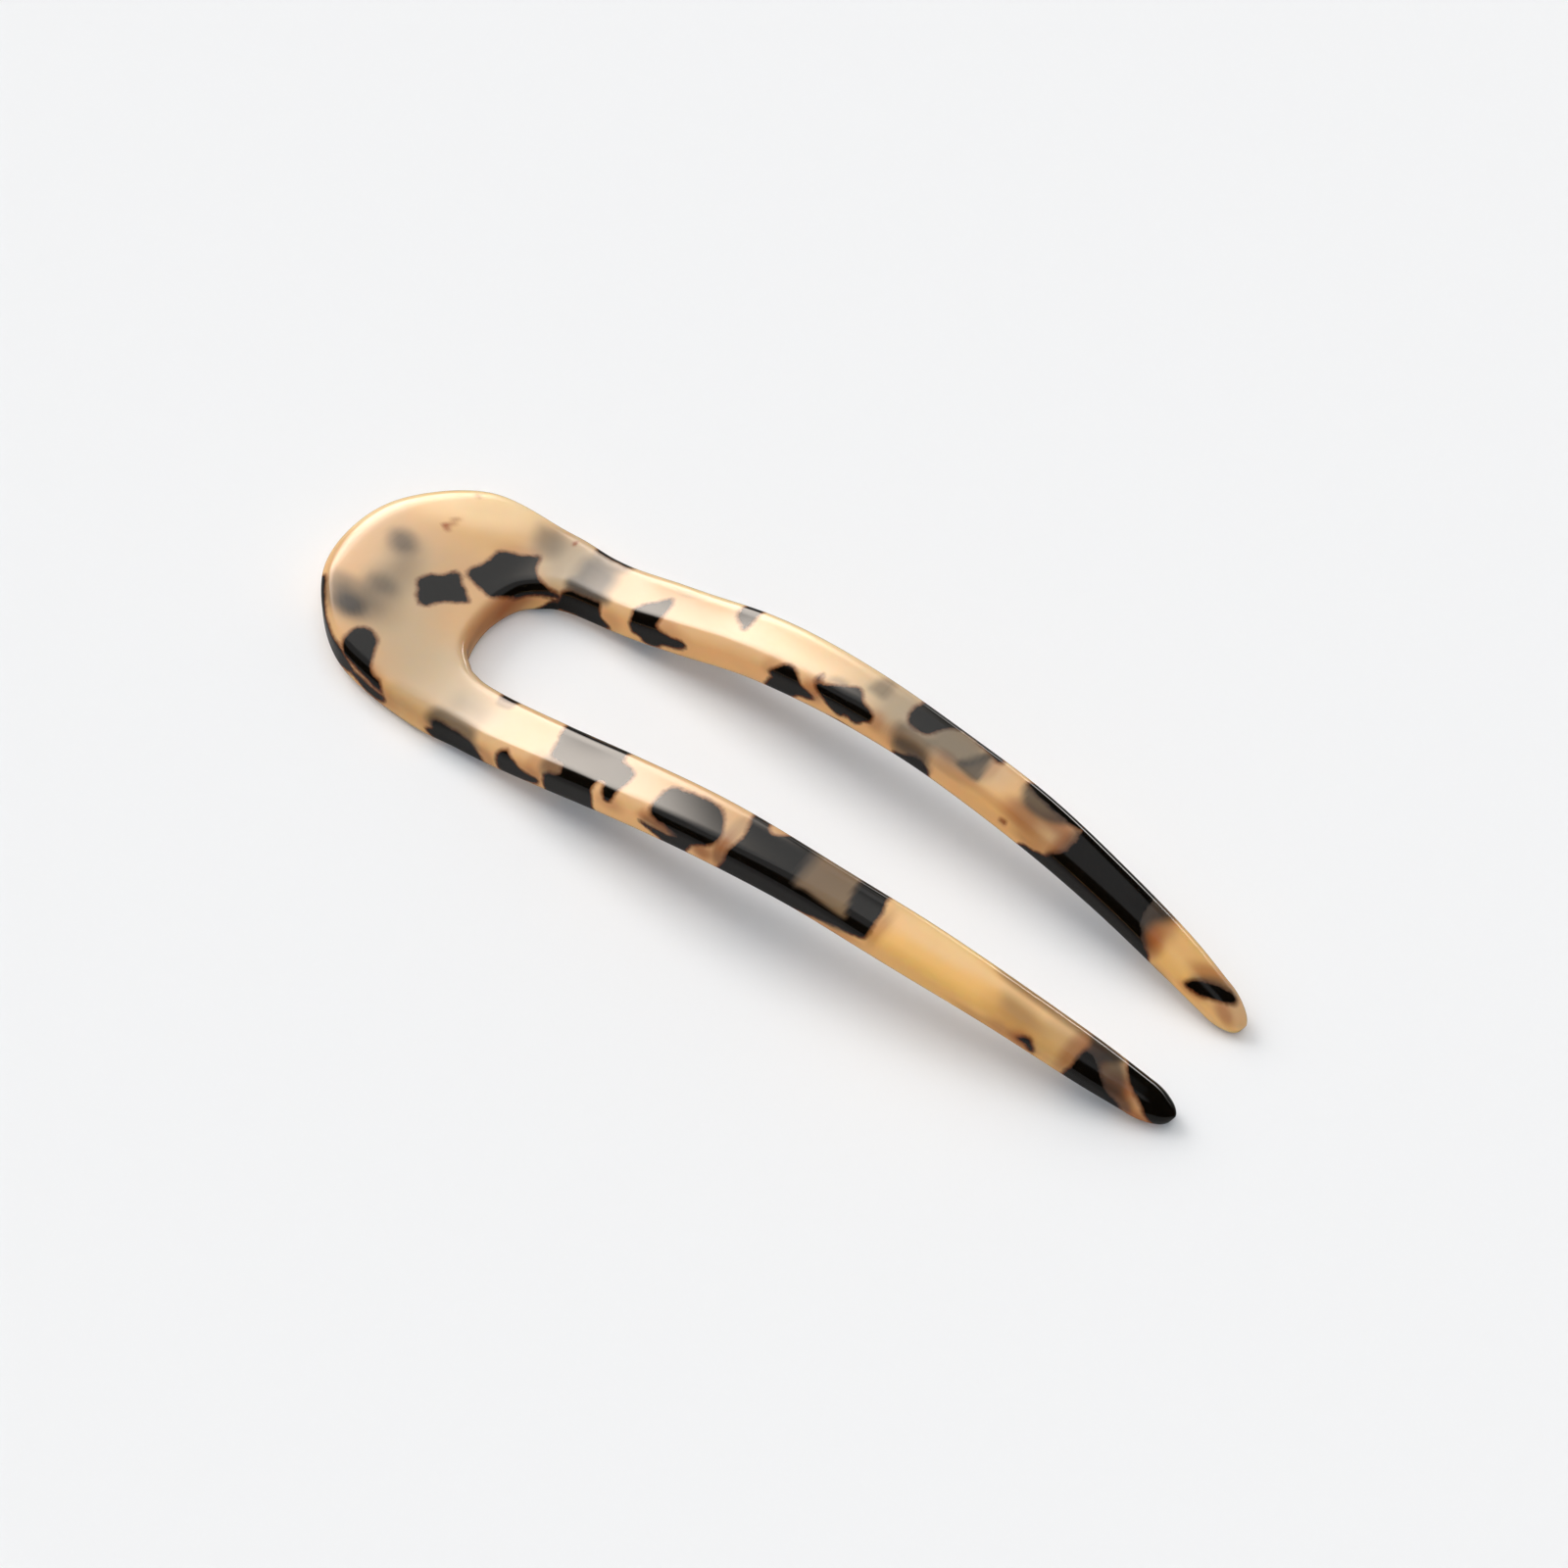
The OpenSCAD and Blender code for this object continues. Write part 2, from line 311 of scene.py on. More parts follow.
SHARP_PATCHES = [
    # Head, in the middle
    [(13.7, 2.1), (15.0, 1.2), (16.2, 0.4), (17.0, -0.2), (16.2, -1.0), (15.0, -1.9), (14.2, -3.0),
     (13.6, -3.9), (12.8, -4.0), (12.2, -3.4), (11.8, -2.7), (11.2, -2.0), (11.1, -1.2), (11.6, -0.3),
     (12.6, 0.7), (13.2, 1.7)],
    # Head, over the gap's end
    [(14.6, 2.6), (14.4, 3.5), (14.9, 4.8), (15.1, 6.4), (15.3, 7.5), (16.5, 8.2), (18.0, 8.9),
     (19.4, 9.8), (20.0, 8.6), (21.0, 7.4), (22.6, 7.0), (24.0, 7.0), (24.6, 6.6), (23.8, 6.3),
     (22.6, 5.9), (21.6, 4.9), (21.0, 4.1), (20.2, 3.6), (19.2, 2.5), (18.2, 1.9), (16.4, 2.2)],
    # Head, near edge, with a wedge under it
    [(9.9, -12.2), (10.1, -13.6), (10.8, -14.6), (12.4, -15.0), (14.0, -15.3), (15.4, -15.8),
     (16.4, -15.7), (16.2, -15.0), (15.2, -14.7), (14.2, -14.1), (13.2, -12.2), (12.6, -10.9),
     (11.2, -10.4), (10.2, -11.0)],
    [(10.6, -15.5), (13.0, -15.8), (15.0, -16.2), (16.5, -16.3), (15.2, -17.0), (12.6, -16.9)],
    # Crown's wall
    [(2.6, -7.4), (4.4, -9.7), (6.4, -12.0), (8.4, -13.5), (10.4, -14.4), (11.6, -15.6), (9.6, -15.9),
     (7.2, -15.4), (4.6, -13.8), (1.6, -11.0), (0.8, -8.6)],
    # Far wall of the gap's end
    [(24.9, 7.9), (26.5, 8.2), (28.5, 8.3), (29.5, 8.1), (29.4, 6.5), (30.5, 5.2), (28.6, 4.6),
     (25.4, 4.7), (24.7, 6.2)],
    # Far shoulder's outer wall
    [(24.2, 14.5), (26.6, 14.3), (29.0, 14.4), (29.3, 15.6), (26.8, 16.4), (24.3, 15.9)],
    # Near prong, inner edge of the neck
    [(28.9, -7.6), (29.0, -8.7), (29.8, -9.0), (30.8, -8.9), (31.1, -8.2), (30.6, -7.4)],
    # Near prong, outer wall of the neck
    [(24.2, -15.4), (26.0, -15.2), (28.4, -15.4), (29.8, -16.2), (30.6, -17.8), (30.4, -19.0),
     (26.0, -19.4), (23.6, -18.2), (22.8, -17.4), (24.0, -16.6)],
    [(34.3, -14.8), (35.4, -15.6), (36.2, -16.5), (37.2, -17.0), (38.4, -17.2), (38.2, -17.8),
     (36.5, -18.4), (33.6, -18.6), (32.8, -17.6), (33.2, -16.0)],
    # Near prong, band across the top, notched below, with a drop beside it
    [(38.2, -7.2), (38.4, -9.8), (38.8, -11.0), (39.1, -12.2), (39.4, -13.1), (40.4, -13.6), (41.5, -13.8),
     (41.8, -14.5), (42.0, -15.1), (40.8, -15.4), (40.0, -15.8), (39.6, -16.6), (39.3, -17.6),
     (39.6, -19.2), (42.6, -19.8), (45.4, -19.0), (45.9, -17.4), (46.2, -15.8), (46.3, -14.7),
     (46.7, -14.1), (47.3, -14.3), (47.6, -15.2), (47.9, -15.9), (48.3, -16.1), (48.8, -15.6),
     (49.0, -14.4), (49.3, -12.6), (49.1, -11.6), (48.4, -11.1), (47.2, -10.8), (46.8, -9.8),
     (46.9, -7.8), (44.6, -6.9), (42.4, -7.6), (41.9, -8.9), (41.3, -7.6), (39.6, -6.8)],
    # Near prong, round patch with a wedge under it
    [(53.4, -11.6), (53.7, -11.0), (55.0, -10.8), (57.0, -10.5), (58.4, -10.4), (59.6, -10.7),
     (60.4, -11.4), (61.1, -12.6), (61.6, -13.7), (61.5, -14.5), (61.0, -15.0), (60.3, -15.5),
     (59.0, -16.3), (58.3, -17.6), (57.4, -19.0), (55.6, -18.8), (54.6, -18.0), (53.2, -17.3),
     (52.3, -16.8), (54.0, -16.9), (55.8, -16.9), (57.2, -16.3), (55.7, -15.6), (54.0, -15.3),
     (53.4, -14.6), (53.3, -13.2)],
    # Near prong, long dark stretch: its start, its underlying wall, and its sharp end
    [(62.6, -7.0), (62.8, -9.6), (63.3, -11.0), (63.5, -12.4), (63.2, -14.0), (63.1, -15.2),
     (62.9, -16.4), (62.5, -17.4), (62.4, -19.4), (66.0, -20.2), (70.4, -19.2), (71.6, -17.4),
     (73.0, -16.8), (74.6, -16.2), (76.5, -15.5), (78.2, -15.2), (79.4, -14.7), (80.0, -14.1),
     (80.1, -13.4), (79.9, -12.2), (79.8, -10.8), (79.4, -9.4), (79.0, -7.2), (77.0, -6.0),
     (70.0, -6.4), (68.4, -7.2), (67.2, -8.8), (66.6, -9.6), (65.8, -10.1), (65.0, -9.8),
     (64.7, -9.2), (64.4, -7.2)],
    # Near prong, crescent on the honey
    [(98.2, -12.7), (98.6, -12.0), (99.1, -11.8), (99.6, -12.0), (100.0, -12.7), (99.9, -13.3),
     (99.3, -12.9), (98.8, -12.8)],
    # Near prong, wall before the tip
    [(104.1, -8.9), (104.8, -8.5), (105.6, -8.8), (106.6, -9.6), (107.8, -10.3), (109.2, -10.7),
     (110.4, -11.4), (109.6, -12.4), (107.2, -13.8), (103.9, -14.6), (103.8, -13.4), (104.0, -11.2)],
    # Near tip
    [(107.9, -4.6), (108.2, -6.4), (108.6, -7.2), (109.4, -8.0), (110.4, -8.6), (111.4, -9.0),
     (112.8, -9.6), (114.6, -9.7), (116.0, -8.0), (115.8, -5.6), (113.6, -3.6), (110.4, -3.6)],
    # Far prong, across the neck
    [(36.4, 12.3), (37.0, 11.8), (37.1, 10.5), (37.1, 9.4), (37.1, 8.5), (37.8, 8.0), (39.4, 7.7),
     (40.5, 7.6), (40.7, 7.0), (39.6, 6.3), (37.8, 6.1), (36.7, 5.3), (35.4, 5.2), (34.5, 6.2),
     (33.7, 6.5), (33.8, 8.5), (33.6, 9.2), (34.0, 10.0), (35.0, 11.1)],
    # Far prong, outer edge
    [(44.8, 14.8), (44.8, 13.6), (45.3, 12.8), (46.0, 12.3), (46.6, 11.9), (46.8, 12.6), (46.9, 13.8),
     (46.9, 15.2), (46.2, 16.4), (45.2, 16.2)],
    # Far prong, pair on the inner edge
    [(54.2, 10.0), (53.0, 9.4), (51.9, 8.3), (52.1, 7.8), (51.7, 6.9), (51.0, 5.8), (52.6, 5.2),
     (54.6, 5.8), (55.5, 6.5), (57.1, 6.9), (57.6, 7.3), (56.2, 8.2), (55.3, 9.2)],
    [(57.6, 10.7), (57.4, 9.8), (57.7, 9.2), (58.5, 8.4), (59.6, 7.4), (60.5, 6.8), (61.3, 6.7),
     (61.9, 7.4), (62.6, 6.9), (63.3, 7.0), (64.0, 7.8), (64.9, 8.4), (65.1, 8.9), (64.6, 9.4),
     (63.0, 10.1), (62.6, 10.8), (61.7, 11.3), (60.1, 10.4), (58.3, 9.5), (57.9, 9.9)],
    # Far prong, over the arch: outer edge, then the slanted one, then the wall's foot
    [(68.3, 13.9), (67.9, 12.6), (68.0, 11.6), (68.6, 10.7), (69.8, 10.4), (71.0, 10.8), (71.6, 12.0),
     (72.6, 13.2), (73.4, 13.6), (73.2, 15.0), (70.6, 16.2), (68.6, 15.6)],
    [(73.4, 13.7), (75.4, 13.5), (77.2, 13.0), (78.0, 12.7), (78.8, 12.7), (79.0, 13.4), (77.6, 14.4),
     (73.6, 14.8)],
    [(68.4, 5.9), (69.6, 6.4), (70.6, 7.1), (71.5, 7.5), (72.2, 7.1), (72.9, 6.2), (72.8, 5.2),
     (70.6, 4.4), (68.6, 5.0)],
    # Far prong, thin one on the outer edge
    [(82.6, 12.5), (85.0, 11.9), (87.6, 11.6), (89.6, 11.7), (89.8, 12.6), (87.0, 13.6), (83.6, 13.7)],
    # Far prong, long dark stretch
    [(90.2, 13.4), (90.0, 11.6), (90.1, 9.8), (90.0, 8.6), (89.2, 7.6), (88.5, 6.6), (87.6, 6.0),
     (86.0, 5.6), (85.6, 4.6), (88.0, 3.4), (94.0, 2.8), (99.4, 2.6), (103.0, 3.4), (103.3, 4.6),
     (102.0, 5.9), (100.7, 7.2), (100.1, 8.8), (100.0, 10.6), (99.2, 12.4), (94.0, 14.0)],
    # Walls that the photograph hides: crown, far prong's outer wall, near prong's inner wall
    [(-2.2, 3.6), (-1.4, 5.8), (-1.8, 8.2), (-3.6, 9.0), (-4.6, 6.8), (-3.8, 4.4)],
    [(11.4, 17.0), (13.8, 16.4), (16.6, 17.2), (17.4, 18.8), (15.0, 20.0), (12.2, 19.2)],
    [(33.8, 17.0), (36.6, 16.3), (39.6, 17.2), (40.4, 18.8), (37.0, 19.8), (34.4, 19.0)],
    [(57.4, 16.6), (60.6, 16.1), (64.4, 16.6), (65.2, 18.2), (61.0, 19.2), (58.0, 18.4)],
    [(51.6, -6.6), (54.4, -7.1), (57.6, -6.4), (57.0, -4.4), (53.2, -4.0)],
    [(84.0, -5.2), (86.4, -5.8), (89.6, -5.4), (88.8, -3.6), (85.0, -3.2)],
    # Far tip
    [(107.6, 5.6), (107.9, 6.3), (108.6, 6.9), (109.6, 7.5), (110.6, 8.0), (111.6, 8.3), (112.5, 8.2),
     (112.6, 7.5), (111.8, 6.9), (110.8, 6.3), (109.6, 5.7), (108.4, 5.4)],
]

# Dark clouds deep in the translucent sheet: how soft their outline is, their strength, and the outline
DEEP_CLOUDS = [
    # Head, crown side
    (1.0, 0.66, [(4.8, 2.3), (6.2, 3.0), (7.6, 2.4), (8.2, 1.2), (7.2, 0.1), (5.8, 0.3), (4.9, 1.2)]),
    (1.9, 0.44, [(5.2, 2.6), (8.2, 2.2), (9.8, 0.4), (10.6, -2.0), (10.6, -5.0), (8.2, -6.2), (6.6, -4.4),
                 (6.9, -1.5), (5.8, 0.2)]),
    (0.9, 0.48, [(6.8, -4.2), (8.2, -3.4), (9.8, -4.0), (10.0, -5.2), (8.6, -5.8), (7.0, -5.2)]),
    (0.9, 0.94, [(5.8, -8.3), (7.6, -7.6), (9.0, -8.3), (9.3, -9.6), (7.9, -10.4), (6.2, -9.9)]),
    (1.5, 0.64, [(5.6, -6.4), (7.4, -5.4), (9.2, -6.0), (10.4, -7.4), (9.8, -9.4), (8.4, -10.6),
                 (6.0, -10.4), (4.8, -9.0), (4.2, -7.6)]),
    (1.8, 0.28, [(9.6, -4.6), (12.0, -5.8), (12.6, -8.2), (11.2, -9.8), (9.2, -9.4)]),
    (1.0, 0.44, [(3.0, -6.4), (5.4, -6.0), (6.4, -7.6), (6.0, -9.8), (4.4, -9.6)]),
    # Head, towards the far prong
    (1.3, 0.50, [(16.6, 13.6), (19.2, 13.8), (20.7, 12.4), (20.6, 10.8), (18.6, 10.4), (17.2, 11.6)]),
    (1.6, 0.30, [(18.5, 14.0), (24.0, 14.2), (25.0, 12.0), (24.6, 9.4), (22.6, 8.0), (21.0, 9.4),
                 (19.6, 11.4)]),
    (0.7, 0.60, [(24.6, 14.8), (29.0, 14.6), (29.4, 13.6), (27.4, 12.4), (25.0, 12.6)]),
    (1.2, 0.88, [(24.4, 13.0), (28.2, 12.8), (29.2, 10.6), (28.6, 8.8), (25.2, 8.8), (24.2, 10.8)]),
    (0.7, 0.90, [(24.6, 9.6), (29.6, 9.4), (29.9, 8.4), (25.0, 8.0)]),
    # Near prong, neck
    (1.4, 0.26, [(25.0, -10.8), (29.0, -11.0), (29.6, -13.4), (25.0, -13.8)]),
    (0.3, 0.45, [(28.9, -8.6), (31.1, -8.6), (31.0, -9.9), (29.2, -9.9)]),
    (0.8, 0.74, [(24.0, -13.9), (29.0, -13.9), (30.2, -15.2), (30.2, -16.6), (23.8, -16.6)]),
    (0.8, 0.20, [(18.0, -13.9), (24.4, -13.6), (24.6, -15.4), (18.0, -16.0)]),
    (0.6, 0.62, [(39.3, -13.4), (41.8, -13.7), (41.9, -15.6), (39.5, -16.0)]),
    # Near prong, wedge under the round patch
    (0.5, 0.60, [(55.9, -15.6), (58.5, -15.9), (58.4, -17.0), (56.8, -16.9)]),
    (0.5, 0.36, [(53.4, -15.4), (56.6, -15.7), (56.8, -16.8), (53.2, -16.8)]),
    (0.5, 0.26, [(61.7, -10.6), (63.0, -10.6), (63.0, -16.6), (61.6, -16.4)]),
    # Near prong, clear window in the long dark stretch, darker along its left
    (0.4, 0.74, [(69.8, -5.4), (69.8, -15.2), (78.0, -15.2), (78.0, -5.4)]),
    (0.8, 0.85, [(69.4, -5.4), (69.4, -14.8), (70.9, -14.8), (70.8, -5.4)]),
    # Near prong, honey stretch and before the tip
    (0.5, 0.48, [(92.5, -7.5), (98.0, -6.7), (103.6, -6.0), (104.0, -7.4), (99.5, -8.0), (94.0, -8.3)]),
    (1.1, 0.30, [(94.6, -9.4), (97.6, -9.2), (99.4, -10.2), (98.2, -11.3), (95.4, -11.2)]),
    (1.2, 0.24, [(99.6, -8.8), (103.6, -8.4), (103.8, -12.8), (100.2, -13.0)]),
    (0.5, 0.94, [(103.9, -6.0), (107.6, -6.0), (107.4, -7.2), (106.3, -8.2), (106.0, -9.3), (105.6, -10.2),
                 (104.0, -10.4), (104.1, -8.4)]),
    (0.8, 0.78, [(105.6, -7.4), (107.8, -7.0), (109.4, -8.8), (109.2, -10.2), (106.0, -10.2)]),
    (0.5, 0.66, [(107.0, -9.9), (110.6, -9.6), (111.2, -11.2), (108.4, -11.4)]),
    # Far prong, over the arch
    (0.3, 0.18, [(35.8, 14.0), (37.0, 13.3), (38.6, 13.4), (40.2, 14.0)]),
    (0.6, 0.44, [(58.5, 10.3), (59.0, 11.2), (60.3, 11.3), (60.5, 10.5)]),
    (0.7, 0.54, [(63.2, 14.2), (64.6, 14.2), (64.8, 11.8), (63.4, 11.6), (62.5, 12.1)]),
    (1.4, 0.26, [(64.6, 13.8), (68.4, 13.6), (68.4, 9.4), (65.0, 9.6)]),
    (0.9, 0.60, [(71.4, 13.6), (76.6, 13.2), (76.0, 9.6), (72.4, 9.6), (71.2, 10.8)]),
    (0.8, 0.62, [(67.8, 10.2), (71.6, 10.4), (72.6, 8.4), (72.0, 7.0), (68.6, 7.2)]),
    (0.6, 0.60, [(68.2, 8.2), (70.4, 8.9), (72.4, 8.2), (73.0, 6.2), (68.4, 6.0)]),
    (0.4, 0.84, [(75.2, 9.8), (76.3, 11.0), (77.0, 12.8), (77.9, 12.7), (78.2, 11.0), (78.3, 9.2),
                 (76.4, 9.2)]),
    (0.4, 0.50, [(75.4, 10.0), (76.2, 9.9), (77.4, 11.6), (77.7, 12.9), (76.9, 12.6), (75.9, 11.2)]),
    # Far prong, towards the tip
    (0.6, 0.84, [(82.7, 12.7), (88.4, 12.2), (88.2, 11.1), (86.6, 10.1), (84.6, 9.9), (83.2, 10.5)]),
    (1.1, 0.26, [(83.0, 10.4), (86.4, 10.6), (89.0, 10.4), (89.2, 8.0), (86.0, 7.4), (83.4, 8.4)]),
    (0.6, 0.60, [(88.6, 7.0), (89.2, 8.4), (89.4, 11.6), (91.0, 11.6), (91.0, 6.8)]),
    (0.9, 0.96, [(98.4, 11.8), (102.6, 11.2), (102.5, 9.8), (101.7, 8.4), (101.7, 7.0), (102.6, 5.6),
                 (98.4, 5.6)]),
    (0.6, 0.62, [(107.8, 6.4), (108.8, 7.8), (110.6, 8.9), (112.4, 8.8), (112.6, 7.4), (110.4, 7.0)]),
]

# Soft zones of tint; each row is an ellipse with a turn in degrees and a strength

# Amber-brown round and between the dark patches, and in the wall of the gap's end
AMBER_GLOWS = [
    # along, across, half_length, half_width, turn, strength
    [21.0, 0.8, 2.0, 6.0, 0, 0.70],
    [21.8, 3.6, 2.4, 2.8, 0, 0.60],
    [22.4, -4.6, 1.6, 2.0, 40, 0.35],
    [8.9, 6.2, 0.5, 0.5, 0, 1.00],
    [9.1, 7.3, 0.4, 1.0, -15, 0.55],
    [21.5, 13.8, 0.3, 0.45, 0, 1.00],
    [8.9, 12.0, 0.5, 0.35, 0, 0.45],
    [17.2, 8.9, 3.2, 1.2, 25, 0.25],
    [14.6, -15.6, 3.6, 1.8, -18, 0.50],
    [19.5, -16.2, 4.0, 1.2, 0, 0.22],
    [24.0, -17.0, 2.0, 1.6, 0, 0.35],
    [31.4, -17.2, 1.2, 1.8, 0, 0.45],
    [36.4, -16.6, 3.0, 1.4, 0, 0.40],
    [38.4, -15.8, 1.2, 2.4, 0, 0.35],
    [40.6, -14.6, 1.2, 0.8, 0, 0.45],
    [48.6, -16.2, 1.8, 1.2, 0, 0.35],
    [55.6, -16.0, 3.0, 0.9, 0, 0.80],
    [53.0, -15.6, 0.8, 0.8, 0, 0.45],
    [60.2, -16.6, 1.4, 1.4, 40, 0.75],
    [62.3, -15.6, 0.9, 3.0, 0, 0.75],
    [66.0, -9.6, 1.4, 0.9, 0, 0.20],
    [76.0, -16.4, 4.0, 0.9, 8, 0.40],
    [80.6, -12.4, 0.9, 2.6, 0, 0.45],
    [97.2, -7.6, 5.0, 0.8, 6, 0.30],
    [96.6, -10.8, 3.4, 1.8, 10, 0.30],
    [98.8, -12.8, 1.6, 1.3, 0, 0.85],
    [96.6, -13.2, 2.2, 1.0, 6, 0.45],
    [94.0, -14.4, 4.0, 0.8, 6, 0.30],
    [103.3, -9.6, 1.1, 3.4, 0, 0.60],
    [105.2, -8.2, 1.6, 2.0, 0, 0.90],
    [108.8, -9.2, 2.2, 1.4, 20, 0.80],
    [109.4, -10.4, 2.4, 1.0, 6, 0.60],
    [112.8, -10.6, 3.4, 1.2, 8, 0.75],
    [31.0, 6.6, 1.4, 1.6, 0, 0.25],
    [38.0, 8.6, 3.2, 1.2, -10, 0.30],
    [52.0, 9.0, 1.2, 1.4, 0, 0.30],
    [57.4, 8.2, 1.4, 1.6, 0, 0.62],
    [65.4, 8.6, 1.2, 1.4, 0, 0.40],
    [69.2, 8.0, 3.0, 2.0, 0, 0.30],
    [75.4, 8.6, 3.2, 0.8, 0, 0.35],
    [82.0, 8.4, 6.0, 0.6, -4, 0.30],
    [74.0, 9.8, 1.6, 0.7, 0, 0.35],
    [78.6, 11.4, 0.8, 1.8, 0, 0.30],
    [82.9, 6.9, 0.5, 0.6, 0, 1.00],
    [84.2, 9.2, 2.6, 1.6, 0, 0.62],
    [87.6, 10.6, 1.8, 1.2, 0, 0.60],
    [89.4, 8.8, 1.1, 2.4, 0, 0.75],
    [86.6, 7.0, 2.6, 1.4, 0, 0.40],
    [102.0, 8.6, 1.9, 3.6, 0, 0.60],
    [102.0, 7.3, 1.2, 1.6, 0, 0.60],
    [102.8, 6.0, 1.2, 1.6, 0, 0.60],
    [108.6, 5.4, 1.6, 0.8, 8, 0.45],
    [109.0, 8.2, 2.4, 1.2, 20, 0.60],
    [112.4, 6.0, 1.6, 0.8, -20, 0.50],
]

# Honey
HONEY_ZONES = [
    # along, across, half_length, half_width, turn, strength
    [88.5, -12.0, 11.5, 6.0, 6, 0.90],
    [98.5, -11.0, 6.0, 5.0, 0, 0.60],
    [82.0, 7.5, 7.0, 5.0, 0, 0.45],
    [106.0, 7.5, 5.0, 5.0, 0, 0.70],
    [7.5, 9.6, 5.5, 3.6, 40, 0.35],
    [12.5, 9.0, 5.0, 4.0, 0, 0.25],
    [20.0, -15.4, 6.0, 1.6, 0, 0.45],
]

# Milky grey-cream
MILK_ZONES = [
    # along, across, half_length, half_width, turn, strength
    [20.5, -10.0, 7.0, 5.0, 0, 0.60],
    [12.0, -6.5, 4.5, 4.5, 0, 0.50],
    [9.0, -1.5, 3.4, 4.5, 0, 0.45],
    [22.8, 11.0, 5.0, 4.0, 0, 0.70],
    [27.5, -12.0, 4.5, 3.0, 0, 0.45],
    [70.5, 11.6, 9.5, 3.8, -4, 0.75],
]

# Pale cream along the honey stretch's inner edge, and painted glow and painted highlight along the head's
# far edge, on the crown's edge and on the prongs' walls beside the top's highlights
PALE_AND_GLOW_ZONES = [
    # along, across, half_length, half_width, turn, strength
    [11.0, 11.4, 8.0, 3.0, 32, 0.85],
    [86.5, -9.6, 7.5, 1.7, 6, 0.55],
    [98.0, -8.5, 6.0, 1.0, 6, 0.45],
    [55.0, 12.4, 10.0, 2.2, 0, 0.60],
    [1.0, 5.0, 2.4, 8.0, -20, 0.60],
    [48.0, 15.4, 22.0, 1.6, 0, 0.60],
    [52.0, -7.0, 22.0, 1.6, 0, 0.60],
]

# Soft-edged openings in the dark patches, as the clouds above
CLEARINGS = [
    (0.35, 1.0, [(70.5, -5.4), (70.5, -13.2), (72.4, -13.6), (76.9, -13.8), (76.9, -13.0), (76.4, -11.4),
                 (76.0, -9.6), (75.9, -5.4)]),
]

# Patches on the underside, on a plan in which the walls are folded out flat beside it
UNDER_PATCHES = [
    # along, across, half_length, half_width, turn
    [7.5, 6.0, 2.6, 3.6, 20],
    [15.5, -4.5, 3.4, 2.4, -25],
    [11.0, -9.5, 2.0, 1.5, 30],
    [17.5, 11.5, 3.0, 1.7, 10],
    [28.0, -11.5, 3.6, 2.0, 4],
    [41.5, -12.0, 4.4, 2.6, -8],
    [55.5, -13.2, 2.6, 1.8, 12],
    [66.5, -11.4, 5.2, 2.8, 0],
    [77.5, -10.8, 2.6, 1.4, -10],
    [106.5, -8.6, 3.4, 2.2, 8],
    [32.5, 11.4, 3.8, 2.4, -8],
    [47.5, 13.6, 2.4, 1.8, 14],
    [60.5, 10.8, 4.2, 2.2, 0],
    [72.5, 12.4, 3.2, 2.4, 8],
    [84.0, 10.4, 2.6, 1.6, -12],
    [95.5, 8.6, 6.0, 3.2, -6],
]
UNDER_DEEP = [
    # along, across, half_length, half_width, turn, strength
    [4.5, -3.0, 2.0, 3.0, 0, 0.60],
    [20.5, 8.5, 2.6, 2.0, 0, 0.50],
    [14.0, 1.0, 2.4, 1.8, 20, 0.45],
    [21.5, -12.5, 2.6, 1.8, 0, 0.50],
    [35.0, -11.0, 2.0, 1.8, 0, 0.45],
    [49.5, -11.8, 2.2, 2.0, 0, 0.50],
    [86.0, -10.4, 3.0, 2.0, 0, 0.25],
    [98.0, -9.4, 2.4, 1.8, 0, 0.55],
    [40.5, 12.4, 2.4, 2.0, 0, 0.45],
    [54.0, 12.0, 2.0, 1.8, 0, 0.50],
    [66.8, 11.2, 1.8, 2.2, 0, 0.60],
    [78.5, 10.8, 2.2, 2.0, 0, 0.55],
    [105.0, 6.8, 2.4, 1.8, 0, 0.45],
]
# Lobes that make the underside's patches uneven: how many round a patch, and how deep
UNDER_LOBES = ((3, 0.16), (5, 0.09))
# Points round such a patch
OVAL_POINTS = 40

# Steps of a curve between two of its points, and the longest distance to a patch that counts
CURVE_STEPS = 8
PATCH_REACH = 2.5
# Shares of an ellipse's size between which its tint fades out
BLUR_START = 0.35
BLUR_END = 1.45
# The top's chart ends this far past the wall's foot, on a wavy line of this reach and length, and
# its clouds and most of its tints fade over this width there
TOP_CHART_LIMIT = 0.6
TOP_CHART_WOBBLE = 0.7
WOBBLE_LENGTH = 5.3
TOP_CHART_FADE = 2.0


def closed_curve(points):
    """Smooth closed curve through the points."""
    points = np.array(points)
    rows = np.vstack([points[-1], points, points[:2]])
    return smooth_curve(rows, np.arange(0, len(points), 1 / CURVE_STEPS))


def distance_to_patch(places, outline):
    """Distance from each place to the outline, negative inside."""
    best = np.full(len(places), np.inf)
    inside = np.zeros(len(places), bool)
    for start, stop in zip(outline, np.roll(outline, -1, 0)):
        step = stop - start
        along = np.clip(((places - start) @ step) / (step @ step), 0, 1)
        best = np.minimum(best, np.hypot(*(places - start - along[:, None] * step).T))
        if step[1] != 0:
            spans = (start[1] > places[:, 1]) != (stop[1] > places[:, 1])
            crossing = start[0] + (places[:, 1] - start[1]) * step[0] / step[1]
            inside ^= spans & (places[:, 0] < crossing)
    return np.where(inside, -best, best)


def nearest_patch(places, outlines):
    """Smallest of the distances to all outlines, no more than the reach."""
    result = np.full(len(places), PATCH_REACH)
    for outline in outlines:
        near = np.all((places > outline.min(0) - PATCH_REACH) & (places < outline.max(0) + PATCH_REACH), 1)
        if near.any():
            result[near] = np.minimum(result[near], distance_to_patch(places[near], outline))
    return result


def turned(x, y, degrees):
    """Places turned round the origin by an angle."""
    a = math.radians(degrees)
    return x * math.cos(a) - y * math.sin(a), x * math.sin(a) + y * math.cos(a)


